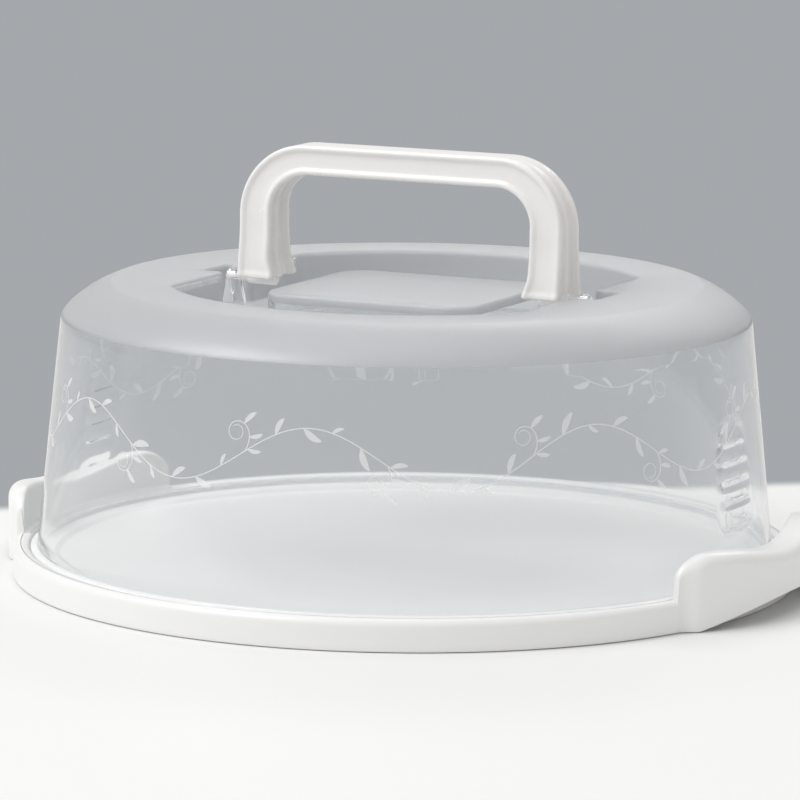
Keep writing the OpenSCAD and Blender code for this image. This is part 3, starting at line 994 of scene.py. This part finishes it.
def make_world():
    """Even light on the object; the camera, and glass seen by it, find a grey backdrop."""
    world = bpy.data.worlds.new("studio")
    bpy.context.scene.world = world
    world.use_nodes = True
    nodes, links = world.node_tree.nodes, world.node_tree.links
    nodes.clear()
    out = nodes.new("ShaderNodeOutputWorld")
    lit = nodes.new("ShaderNodeBackground")
    lit.inputs["Color"].default_value = (1.0, 0.995, 0.985, 1)
    lit.inputs["Strength"].default_value = LIGHT_LEVEL
    seen = nodes.new("ShaderNodeBackground")
    seen.inputs["Color"].default_value = (*BACK_COLOUR, 1)
    path = nodes.new("ShaderNodeLightPath")
    direct = nodes.new("ShaderNodeMath")
    direct.operation = "LESS_THAN"
    direct.inputs[1].default_value = 0.5
    links.new(path.outputs["Diffuse Depth"], direct.inputs[0])
    through = nodes.new("ShaderNodeMath")
    through.operation = "MULTIPLY"
    links.new(path.outputs["Is Transmission Ray"], through.inputs[0])
    links.new(direct.outputs[0], through.inputs[1])
    either = nodes.new("ShaderNodeMath")
    either.operation = "MAXIMUM"
    links.new(path.outputs["Is Camera Ray"], either.inputs[0])
    links.new(through.outputs[0], either.inputs[1])
    blend = nodes.new("ShaderNodeMixShader")
    links.new(either.outputs[0], blend.inputs["Fac"])
    links.new(lit.outputs[0], blend.inputs[1])
    links.new(seen.outputs[0], blend.inputs[2])
    links.new(blend.outputs[0], out.inputs["Surface"])


def make_floor():
    """A pale floor that keeps shadows; seen by the camera, it ends behind the object."""
    mesh = bpy.data.meshes.new("floor")
    corners = [(x * FLOOR_HALF, y * FLOOR_HALF, 0) for x, y in ((-1, -1), (1, -1), (1, 1), (-1, 1))]
    mesh.from_pydata(corners, [], [(0, 1, 2, 3)])
    floor = bpy.data.objects.new("floor", mesh)
    bpy.context.scene.collection.objects.link(floor)
    floor.location.z = -FLOOR_GAP
    material = bpy.data.materials.new("floor")
    material.use_nodes = True
    shader = material.node_tree.nodes["Principled BSDF"]
    shader.inputs["Roughness"].default_value = 0.5
    nodes, links = material.node_tree.nodes, material.node_tree.links
    place = nodes.new("ShaderNodeTexCoord")
    along = nodes.new("ShaderNodeVectorMath")
    along.operation = "DOT_PRODUCT"
    along.inputs[1].default_value = (*BEHIND, 0)
    links.new(place.outputs["Object"], along.inputs[0])
    ramp = nodes.new("ShaderNodeMapRange")
    ramp.interpolation_type = "SMOOTHSTEP"
    ramp.inputs["From Min"].default_value = FLOOR_DEPTH
    ramp.inputs["From Max"].default_value = FLOOR_DEPTH + FLOOR_BLEND
    links.new(along.outputs["Value"], ramp.inputs["Value"])
    shader.inputs["Base Color"].default_value = (*FLOOR_COLOUR, 1)
    path = nodes.new("ShaderNodeLightPath")
    seen = nodes.new("ShaderNodeMath")
    seen.operation = "MAXIMUM"
    links.new(path.outputs["Is Camera Ray"], seen.inputs[0])
    links.new(path.outputs["Is Transmission Ray"], seen.inputs[1])
    share = nodes.new("ShaderNodeMath")
    share.operation = "MULTIPLY"
    links.new(ramp.outputs["Result"], share.inputs[0])
    links.new(seen.outputs[0], share.inputs[1])
    wall = nodes.new("ShaderNodeEmission")
    wall.inputs["Color"].default_value = (*BACK_COLOUR, 1)
    blend = nodes.new("ShaderNodeMixShader")
    links.new(share.outputs[0], blend.inputs["Fac"])
    links.new(shader.outputs[0], blend.inputs[1])
    links.new(wall.outputs[0], blend.inputs[2])
    links.new(blend.outputs[0], nodes["Material Output"].inputs["Surface"])
    mesh.materials.append(material)


def make_lights():
    for name, place, size, power in LAMPS:
        data = bpy.data.lights.new(name, "AREA")
        data.shape = "RECTANGLE"
        data.size, data.size_y = size
        data.energy = power
        lamp = bpy.data.objects.new(name, data)
        lamp.location = place
        aim = Vector(LAMP_TARGET) - Vector(place)
        lamp.rotation_euler = aim.to_track_quat("-Z", "Y").to_euler()
        bpy.context.scene.collection.objects.link(lamp)


# Camera: fitted to the carrier's circles in the photograph, as a place and a heading
CAMERA_PLACE = (0.8142, -1.6619, 0.3688)
CAMERA_TURN = 26.0 + math.degrees(0.003)
CAMERA_PITCH = math.degrees(0.162)
CAMERA_ROLL = math.degrees(0.008)
CAMERA_FOCAL_PX = 4905.3
FRAME_PX = 800
SENSOR = 36.0


def make_camera():
    data = bpy.data.cameras.new("camera")
    camera = bpy.data.objects.new("camera", data)
    bpy.context.scene.collection.objects.link(camera)
    data.sensor_width = SENSOR
    data.lens = CAMERA_FOCAL_PX / FRAME_PX * SENSOR
    data.clip_start, data.clip_end = 0.05, 50
    camera.location = CAMERA_PLACE
    turn = Matrix.Rotation(math.radians(CAMERA_TURN), 4, "Z")
    tilt = Matrix.Rotation(math.radians(90 - CAMERA_PITCH), 4, "X")
    roll = Matrix.Rotation(math.radians(CAMERA_ROLL), 4, "Z")
    camera.rotation_euler = (turn @ tilt @ roll).to_euler()
    bpy.context.scene.camera = camera


make_camera()
make_world()
make_floor()
make_lights()
bpy.context.scene.view_settings.view_transform = "Standard"

tray = make_tray()
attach(tray, "tray")
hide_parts("base_tray")

cover = make_cover()
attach(cover, "cover")
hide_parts("cover")

wall_print = make_print()
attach(wall_print, "cover")

handle = make_handle()
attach(handle, "handle")
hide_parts("handle")
